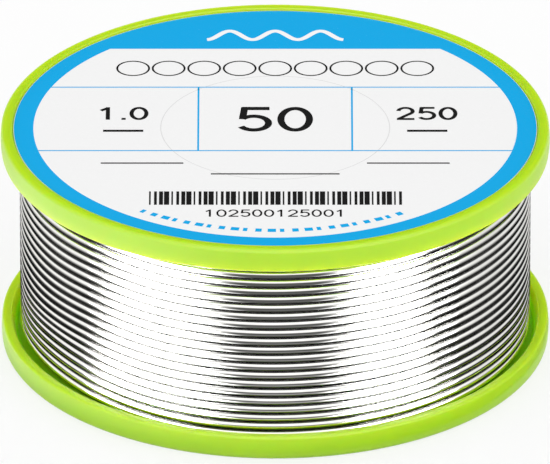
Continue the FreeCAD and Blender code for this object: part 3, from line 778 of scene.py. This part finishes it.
@dataclass
class RoundLabel:
    """The round paper label and its print, in millimetres.

    The print is a generic design: a plain border, a solid cap with a wave of wire in it, a row of
    rings, ruled lines, plain numbers, a row of bars that stands for nothing and a dashed arc.
    """

    top: float = 25.32
    film: float = 0.008
    border_outside: float = 28.55
    border_inside: float = 26.42
    hub_ring: float = 12.5
    cap_height: float = 19.2
    line_width: float = 0.2
    rule_heights: tuple[float, float] = (9.8, -5.6)
    divider: float = 8.4
    number_size: float = 2.7
    number_place: tuple[float, float] = (16.6, 3.4)
    row_size: float = 1.5
    bar_heights: tuple[float, float] = (-18.6, -15.4)
    bar_reach: float = 13.6
    bar_count: int = 46
    wave_height: float = 22.5
    wave_swing: float = 1.05
    wave_length: float = 5.0
    wave_reach: float = 7.5
    wave_width: float = 0.65
    ring_height: float = 14.4
    ring_radius: float = 1.75
    ring_reach: float = 15.6
    ring_count: int = 9
    ring_width: float = 0.22
    dash_angles: tuple[float, float, float] = (-126.0, -55.0, 3.1)
    dash_radius: float = 24.7
    dash_width: float = 0.75
    large_number: tuple[float, float] = (2.0, 5.2)
    code_height: float = -20.6
    short_rules: tuple[tuple[float, float, float], ...] = (
        (-19.0, -8.6, 9.0),
        (10.0, -8.6, 9.0),
        (-7.0, -11.2, 14.0),
    )
    short_rule_width: float = 0.28
    underline: tuple[float, float, float] = (2.2, 4.2, 0.5)

    def film_between(self, left: np.ndarray, right: np.ndarray, level: float = 0) -> np.ndarray:
        """The rings of a thin printed film between a left and a right edge.

        Args:
            left: Points of the left edge, shaped (n, 2), in the way of travel.
            right: Points of the right edge.
            level: How many films lie beneath, or a small share of one where strokes cross.

        Returns:
            Rings of four corners, shaped (n, 4, 3).
        """
        low = np.full((len(left), 1), self.top + level * self.film)
        high = low + self.film
        corners = [np.hstack(pair) for pair in ((left, low), (right, low), (right, high), (left, high))]
        return np.stack(corners, axis=1)[:, ::-1]

    def ribbon(self, line: np.ndarray, width: float, level: float = 0) -> np.ndarray:
        """A film of even width: each point of the line moved half the width to either side."""
        ahead = np.gradient(line, axis=0)
        ahead /= np.linalg.norm(ahead, axis=1, keepdims=True)
        side = np.stack([-ahead[:, 1], ahead[:, 0]], axis=-1) * width / 2
        return self.film_between(line + side, line - side, level)

    def arc(self, x: float, y: float, wide: float, high: float, first: float, last: float) -> np.ndarray:
        """Points (x + wide * cos(a), y + high * sin(a)) for a from the first angle to the last."""
        steps = max(8, int(abs(last - first) / 7.5))
        angle = np.radians(np.linspace(first, last, steps + 1))
        return np.stack([x + wide * np.cos(angle), y + high * np.sin(angle)], axis=-1)

    def band(self, inside: float, outside: float) -> np.ndarray:
        """The rings of a flat printed ring between two radii."""
        low, high = self.top, self.top + self.film
        return turned(np.array([[outside, low], [outside, high], [inside, high], [inside, low]]), 256)

    def number(
        self, text: str, centre: tuple[float, float], size: float, bold: float = 0.17
    ) -> list[np.ndarray]:
        """The strokes of a plain number.

        Args:
            text: Its digits.
            centre: Its middle on the label.
            size: The height of a digit.
            bold: The strokes' width as a share of the height.

        Returns:
            The rings of each stroke.
        """
        advance = np.array([0.42 if mark == "." else 0.86 for mark in text]) * size
        places = np.cumsum(advance) - advance + centre[0] - (advance.sum() - 0.24 * size) / 2
        strokes = []
        for mark, place in zip(text, places):
            for order, shape in enumerate(DIGITS[mark]):
                if len(shape) == 6:
                    line = self.arc(*shape)
                else:
                    line = np.array(shape).reshape(2, 2)
                line = line * size + [place, centre[1] - size / 2]
                strokes.append(self.ribbon(line, bold * size, level=0.2 * order))
        return strokes

    def print_with(self, name: str, ink: bpy.types.Material, films: list[np.ndarray]) -> None:
        """Prints some open films as one piece."""
        sheet = SurfaceSet()
        for rings in films:
            sheet.add(rings)
        sheet.make(name, ink, Slot.PAPER)

    def rule(self, start: tuple[float, float], end: tuple[float, float], width: float) -> np.ndarray:
        """A straight printed line."""
        return self.ribbon(np.array([start, end]), width)

    def make_border(self, inks: dict[Ink, bpy.types.Material]) -> None:
        """Prints the border and the solid cap with its wave, and lays the ring over the hub hole, whose pale
        grey is painted shade for the perforation's groove.
        """
        border = SurfaceSet()
        border.add(self.band(self.border_inside, self.border_outside), closed=True)
        half = math.sqrt(self.border_inside**2 - self.cap_height**2)
        across = half * np.sin(np.linspace(-0.5, 0.5, 91)[1:-1] * math.pi)
        rim = np.stack([across, np.sqrt(self.border_inside**2 - across**2)], axis=-1)
        foot = np.stack([across, np.full_like(across, self.cap_height)], axis=-1)
        border.add(self.film_between(rim, foot))
        border.make("label_border", inks[Ink.BLUE], Slot.PAPER)

        along = np.linspace(-self.wave_reach, self.wave_reach, 121)
        up = self.wave_height + self.wave_swing * np.cos(along / self.wave_length * FULL_TURN)
        wave = self.ribbon(np.stack([along, up], axis=-1), self.wave_width, level=1)
        self.print_with("label_wave", inks[Ink.WHITE], [wave])

        # The perforation ring is a pale grey painted shade that stands in for the shade of its groove.
        perforation = SurfaceSet()
        half = self.line_width / 4
        perforation.add(self.band(self.hub_ring - half, self.hub_ring + half), closed=True)
        perforation.make("label_perforation", inks[Ink.GREY], Slot.PAPER)

    def make_rules(self, inks: dict[Ink, bpy.types.Material]) -> None:
        """Prints the ruled lines, the dashed arc and the row of rings."""
        high, low = self.rule_heights
        lines = [self.rule((x, low), (x, high), self.line_width) for x in (-self.divider, self.divider)]
        for height in self.rule_heights:
            half = math.sqrt(self.border_inside**2 - height**2)
            lines.append(self.ribbon(np.array([(-half, height), (half, height)]), self.line_width, level=0.2))
        for i, start in enumerate(np.arange(*self.dash_angles)):
            end = start + 1.1 + 0.5 * (i * 7 % 3)
            dash = self.arc(0, 0, self.dash_radius, self.dash_radius, start, end)
            lines.append(self.ribbon(dash, self.dash_width))
        self.print_with("label_lines", inks[Ink.BLUE], lines)
        places = np.linspace(-self.ring_reach, self.ring_reach, self.ring_count)
        rings = [self.arc(x, self.ring_height, self.ring_radius, self.ring_radius, 0, 360) for x in places]
        films = [self.ribbon(ring, self.ring_width) for ring in rings]
        self.print_with("label_rings", inks[Ink.BLACK], films)

    def make_figures(self, inks: dict[Ink, bpy.types.Material]) -> None:
        """Prints the numbers, the short rules by them and the row of bars."""
        x, y = self.number_place
        marks = self.number("1.0", (-x, y), self.number_size) + self.number("250", (x, y), self.number_size)
        reach, below, width = self.underline
        for side in (-x, x):
            marks.append(self.rule((side - reach, y - below), (side + reach, y - below), width))
        height, size = self.large_number
        marks += self.number("50", (0.0, height), size, bold=0.15)
        for start, height, run in self.short_rules:
            marks.append(self.rule((start, height), (start + run, height), self.short_rule_width))
        low, high = self.bar_heights
        for i, place in enumerate(np.linspace(-self.bar_reach, self.bar_reach, self.bar_count)):
            marks.append(self.rule((place, low), (place, high), 0.18 + 0.13 * (i * 5 % 4)))
        marks += self.number("102500125001", (0.0, self.code_height), self.row_size, bold=0.15)
        self.print_with("label_figures", inks[Ink.BLACK], marks)

    def make(self, paper: bpy.types.Material, inks: dict[Ink, bpy.types.Material]) -> None:
        """Dresses the paper and lays the print on it.

        Args:
            paper: The label stock's finish.
            inks: The finish of each ink.
        """
        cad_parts["front_label"].data.materials[0] = paper
        self.make_border(inks)
        self.make_rules(inks)
        self.make_figures(inks)


@dataclass(frozen=True)
class ReflectionCards:
    """White panels and grey cards round the spool, which only mirror images show.

    Bearings are degrees from the front, right positive, and heights are sines of the elevation, both
    seen from the spool's middle. Two tall white panels stand left and right of the camera, a white
    roof hangs from the front to just past the top, and both sides are bright as far up as a slope
    that falls towards the back. The table is grey in front and pale at the sides and the back, and
    the white cards on it reach further round the spool close to its foot. These cards light the wire
    alone, and a plain white tent inside them lights everything else. A ramp is two places and the
    levels there, and a band is where it rises and where it falls.
    """

    reach_mm: float = 1500.0
    tent_mm: float = 1400.0
    inner_mm: float = 31.0
    middle_mm: float = 12.5
    lift_mm: float = 0.2
    tent_lift_mm: float = 0.3
    sides: int = 360
    rows: int = 91
    table_rows: int = 61
    dome_top: float = 0.497 * math.pi
    mirrors: tuple[str, ...] = ("wound_outer_layer", "packed_inner_layers", "wire_inner_end")
    panel: float = 160.0
    front: float = 0.11
    seen: float = 6.5
    spill: float = 9.0
    left_panel: Ramp = (-94.5, -77.0, -50.0, -22.0)
    right_panel: Ramp = (22.0, 51.0, 78.0, 89.0)
    panel_top: Ramp = (0.65, 0.85, 1.0, 0.0)
    roof_rise: Ramp = (-0.1, 0.42, 0.0, 1.35)
    roof_rear: Ramp = (-0.5, 0.3, 1.0, 0.0)
    roof_shear: float = 0.5
    side_band: Ramp = (60.0, 80.0, 155.0, 172.0)
    side_top: Ramp = (0.91, 1.23, 1.0, 0.0)
    side_slope: float = 0.0208
    side_across: Ramp = (-0.5, 0.5, 1.15, 0.98)
    side_foot: Ramp = (-0.05, 0.3, 0.92, 1.0)
    rest: Ramp = (75.0, 125.0, 0.11, 0.004)
    table_left: Ramp = (-74.0, -54.0, -34.0, -12.0)
    table_right: Ramp = (14.5, 38.0, 50.0, 63.0)
    table_lean: Ramp = (-0.37, -0.2, 12.0, 0.0)
    table_front: Ramp = (-0.34, -0.22, 0.5, 0.11)
    table_turn: Ramp = (34.0, 62.0, 0.0, 1.0)
    table_beside: Ramp = (-0.30, 0.05, 0.03, 1.0)
    table_past: Ramp = (-0.29, -0.06, 0.03, 1.0)
    table_past_turn: Ramp = (98.0, 112.0, 0.0, 1.0)
    table_rear: Ramp = (102.0, 122.0, 0.0, 0.06)
    tent_roof: Ramp = (-0.7, 0.7, 2.0, 0.08)
    tent_left: tuple[float, float] = (-0.94, -0.34)
    tent_floor: Ramp = (0.5, 1.0, 0.85, 2.1)
    tent_near: Ramp = (-0.3, 0.6, 0.65, 0.1)
    tent_away: Ramp = (-0.36, -0.18, 0.0, 1.0)
    tent_over: Ramp = (-0.03, 0.12, 0.0, 1.0)

    def directions(self, points: np.ndarray) -> dict[str, np.ndarray]:
        """Works out each point's direction from the spool's middle.

        Args:
            points: Places in millimetres, shaped (n, 3).

        Returns:
            The directions' parts, their bearings, and the sizes of the bearings.
        """
        arm = points - [0, 0, self.middle_mm]
        right, back, height = (arm / np.linalg.norm(arm, axis=1, keepdims=True)).T
        bearing = np.degrees(np.arctan2(right, -back))
        return {"right": right, "back": back, "height": height, "bearing": bearing, "aside": np.abs(bearing)}

    def band(self, value: np.ndarray, edges: Ramp) -> np.ndarray:
        """One between the two inner edges and nought outside the outer ones."""
        return smooth_step(value, *edges[:2]) * smooth_step(value, *edges[2:], 1.0, 0.0)

    def fade(self, share: np.ndarray) -> np.ndarray:
        """Light that grows by the same factor for each step of the share, from the front's to the panels'."""
        return (self.panel / self.front) ** share * self.front * (share > 0.001)

    def dome_light(self, points: np.ndarray) -> np.ndarray:
        """How bright the panels, the roof and the sides are at each point."""
        at = self.directions(points)
        rear = at["back"] - self.roof_shear * np.abs(at["right"])
        roof = smooth_step(at["height"], *self.roof_rise) * smooth_step(rear, *self.roof_rear)
        left, right = (self.band(at["bearing"], edges) for edges in (self.left_panel, self.right_panel))
        panels = self.fade(np.maximum(left, right) * smooth_step(at["height"], *self.panel_top))
        slope = at["height"] + (at["aside"] - 90) * self.side_slope
        level = smooth_step(at["right"], *self.side_across) * smooth_step(at["height"], *self.side_foot)
        sides = self.band(at["aside"], self.side_band) * smooth_step(slope, *self.side_top) * level
        return np.max([smooth_step(at["aside"], *self.rest), roof, panels, sides], axis=0)

    def table_light(self, points: np.ndarray) -> np.ndarray:
        """How bright the table and the cards on it are at each point."""
        at = self.directions(points)
        bearing = at["bearing"] + np.sign(at["bearing"]) * smooth_step(at["height"], *self.table_lean)
        left, right = (self.band(bearing, edges) for edges in (self.table_left, self.table_right))
        white = self.fade(np.maximum(left, right))
        turn = smooth_step(at["aside"], *self.table_turn)
        beside, past = (smooth_step(at["height"], *ramp) for ramp in (self.table_beside, self.table_past))
        pale = turn * (beside + (past - beside) * smooth_step(at["aside"], *self.table_past_turn))
        grey = (1 - turn) * smooth_step(at["height"], *self.table_front)
        return np.max([white, pale + grey, smooth_step(at["aside"], *self.table_rear)], axis=0)

    def tent_light(self, points: np.ndarray) -> np.ndarray:
        """How bright the tent is: its roof falls from the front to the back, its floor from left to right.

        Close to the spool's foot the floor is darker, most of all on the right.
        """
        at = self.directions(points)
        roof = smooth_step(at["back"], *self.tent_roof)
        leftward = self.tent_left[0] * at["right"] + self.tent_left[1] * at["back"]
        near = smooth_step(at["right"], *self.tent_near)
        shade = near + (1 - near) * smooth_step(at["height"], *self.tent_away)
        over = smooth_step(at["height"], *self.tent_over)
        return roof * over + smooth_step(leftward, *self.tent_floor) * shade * (1 - over)

    def make_glow(self, name: str, clear: bool) -> bpy.types.Material:
        """Makes a card's finish: white light at the level that each point of its mesh holds.

        What the wire mirrors straight is held low enough for its grooves to show, and what the wire
        sends on to the plastic is held to a plain level.

        Args:
            name: The card's name.
            clear: Whether what lies behind the card shows through it, and nothing is held.

        Returns:
            The finish.
        """
        material, tree = new_tree(name)
        level = add_node(tree, "ShaderNodeAttribute", attribute_name="level").outputs["Fac"]
        path = add_node(tree, "ShaderNodeLightPath").outputs
        most = self.seen
        for depth, bounces, limit in (("Glossy Depth", 1.5, self.panel), ("Diffuse Depth", 0.5, self.spill)):
            further = add_node(tree, "ShaderNodeMath", {0: path[depth], 1: bounces}, operation="GREATER_THAN")
            either = {"Factor": further.outputs[0], 2: most, 3: limit}
            most = add_node(tree, "ShaderNodeMix", either).outputs[0]
        held = add_node(tree, "ShaderNodeMath", {0: level, 1: most}, operation="MINIMUM").outputs[0]
        light = {"Strength": level if clear else held}
        glow = add_node(tree, "ShaderNodeEmission", light).outputs["Emission"]
        if clear:
            behind = add_node(tree, "ShaderNodeBsdfTransparent").outputs["BSDF"]
            glow = add_node(tree, "ShaderNodeAddShader", {0: glow, 1: behind}).outputs["Shader"]
        add_node(tree, "ShaderNodeOutputMaterial", {"Surface": glow})
        return material

    def place_card(
        self,
        name: str,
        profile: np.ndarray,
        light: Callable[[np.ndarray], np.ndarray],
        lit: list[bpy.types.Object],
        clear: bool = False,
    ) -> None:
        """Makes one card by turning a profile round the spool's axis.

        Args:
            name: The card's name.
            profile: Radii and heights in millimetres.
            light: Works out the card's level at points in millimetres.
            lit: The pieces that the card lights.
            clear: Whether what lies behind the card shows through it.
        """
        surface = SurfaceSet()
        surface.add(turned(profile, self.sides), capped=False)
        card = surface.make_mesh(name, self.make_glow(name, clear))
        level = card.data.attributes.new("level", "FLOAT", "POINT")
        level.data.foreach_set("value", light(np.concatenate(surface.points)).astype(np.float32))
        bpy.context.scene.collection.objects.link(card)
        card.visible_camera = card.visible_diffuse = card.visible_shadow = card.visible_transmission = False
        receivers = bpy.data.collections.new(f"lit_by_{name}")
        for piece in lit:
            receivers.objects.link(piece)
        card.light_linking.receiver_collection = receivers

    def table_profile(self, reach: float, lift: float) -> np.ndarray:
        """A flat profile from the spool's foot outwards, with its rows evenly apart as seen from the middle.

        Their radii are d * (1 / h ** 2 - 1) ** 0.5, where d is how far the profile lies below the middle
        and h, which takes even steps, is the sine of the way down to each row.

        Args:
            reach: Its outer radius in millimetres.
            lift: Its height over the floor in millimetres.

        Returns:
            Radii and heights in millimetres.
        """
        drop = self.middle_mm - lift
        first, last = (drop / math.hypot(drop, radius) for radius in (self.inner_mm, reach))
        radii = drop * np.sqrt(np.linspace(first, last, self.table_rows) ** -2 - 1)
        return np.stack([radii, np.full_like(radii, lift)], axis=-1)

    def make(self) -> None:
        """Makes the domes over the spool and the ring of cards on the table round its foot."""
        pieces = [piece for piece in bpy.data.objects if piece.type == "MESH"]
        wires = [piece for piece in pieces if piece.name in self.mirrors]
        others = [piece for piece in pieces if piece not in wires]
        rise = np.linspace(0, self.dome_top, self.rows)
        arc = np.stack([np.cos(rise), np.sin(rise)], axis=-1)
        dome = arc * self.reach_mm + [0, self.lift_mm]
        table = self.table_profile(self.reach_mm, self.lift_mm)
        self.place_card("panels_and_roof", dome, self.dome_light, wires)
        self.place_card("table_cards", table, self.table_light, wires)
        foot = self.table_profile(self.tent_mm, self.tent_lift_mm)
        tent = np.concatenate([foot, arc[1:] * self.tent_mm + [0, self.tent_lift_mm]])
        self.place_card("white_tent", tent, self.tent_light, others, clear=True)


@dataclass
class Studio:
    """Camera, floor and plain soft light round the spool."""

    distance_mm: float = 2360.0
    elevation_deg: float = 27.07
    aim_mm: float = 12.5
    scale_px_per_mm: float = 9.1325
    aside_px: float = 0.2
    sensor_mm: float = 36.0
    floor_m: float = 4.0
    floor_colour: str = "#F2F2F2"
    floor_glow: float = 0.75
    sky: Ramp = (-1.0, 1.0, 1.40, 1.30)

    def make_camera(self) -> None:
        """Sets the camera at the photograph's viewing angle, in line with the spool's front."""
        camera = bpy.data.cameras.new("camera")
        camera.sensor_fit = "HORIZONTAL"
        camera.sensor_width = self.sensor_mm
        camera.lens = camera.sensor_width * self.distance_mm * self.scale_px_per_mm / PHOTO_WIDTH_PX
        camera.shift_x = -self.aside_px / PHOTO_WIDTH_PX
        holder = bpy.data.objects.new("camera", camera)
        tilt = math.radians(self.elevation_deg)
        back, up = math.cos(tilt) * self.distance_mm, math.sin(tilt) * self.distance_mm
        holder.location = (0.0, -back * MM, (self.aim_mm + up) * MM)
        holder.rotation_euler = (math.pi / 2 - tilt, 0.0, 0.0)
        bpy.context.scene.collection.objects.link(holder)
        bpy.context.scene.camera = holder

    def make_floor(self) -> None:
        """Lays a plain white floor, which keeps the spool's soft shadow."""
        half = self.floor_m / 2
        mesh = bpy.data.meshes.new("floor")
        corners = [(-half, -half, 0), (half, -half, 0), (half, half, 0), (-half, half, 0)]
        mesh.from_pydata(corners, [], [(0, 1, 2, 3)])
        material, tree = new_tree("painted_white_table")
        ray = add_node(tree, "ShaderNodeLightPath").outputs
        shown = ray["Is Camera Ray"]
        for kind in ("Is Glossy Ray", "Is Transmission Ray"):
            shown = add_node(tree, "ShaderNodeMath", {0: shown, 1: ray[kind]}, operation="MAXIMUM").outputs[0]
        glow = {0: shown, 1: self.floor_glow}
        share = add_node(tree, "ShaderNodeMath", glow, operation="MULTIPLY").outputs[0]
        paint = add_node(tree, "ShaderNodeBsdfDiffuse", {"Color": linear(self.floor_colour)}).outputs["BSDF"]
        white = add_node(tree, "ShaderNodeEmission", {"Strength": 1.0}).outputs["Emission"]
        both = add_node(tree, "ShaderNodeMixShader", {0: share, 1: paint, 2: white})
        add_node(tree, "ShaderNodeOutputMaterial", {"Surface": both.outputs["Shader"]})
        mesh.materials.append(material)
        floor = bpy.data.objects.new("floor", mesh)
        bpy.context.scene.collection.objects.link(floor)

    def make_sky(self) -> None:
        """Lights the spool with an even white sky, a little brighter from the camera's side."""
        world = bpy.data.worlds.new("plain_soft_light")
        bpy.context.scene.world = world
        world.use_nodes = True
        tree = world.node_tree
        tree.nodes.clear()
        way = add_node(tree, "ShaderNodeTexCoord").outputs["Generated"]
        back = add_node(tree, "ShaderNodeSeparateXYZ", {"Vector": way}).outputs["Y"]
        ramp = dict(zip(("Value", "From Min", "From Max", "To Min", "To Max"), (back, *self.sky)))
        light = add_node(tree, "ShaderNodeMapRange", ramp, interpolation_type="SMOOTHSTEP").outputs["Result"]
        sky = add_node(tree, "ShaderNodeBackground", {"Strength": light})
        add_node(tree, "ShaderNodeOutputWorld", {"Surface": sky.outputs["Background"]})
        world.cycles_visibility.glossy = False

    def make(self) -> None:
        """Sets up the camera, the floor and the light."""
        self.make_camera()
        self.make_floor()
        self.make_sky()
        bpy.context.scene.view_settings.view_transform = "Standard"


def main() -> None:
    """Builds the studio, dresses the mouldings, winds the wire and prints the label."""
    logging.basicConfig(level=logging.INFO, format="%(message)s")
    Studio().make()
    SpoolBody().dress(MouldedStyrene().make())
    Winding().make(DrawnSolder().make(), RosinFlux().make())
    RoundLabel().make(CoatedPaper().make(), {ink: ink.value.make() for ink in Ink})
    ReflectionCards().make()


if __name__ == "__main__":
    main()
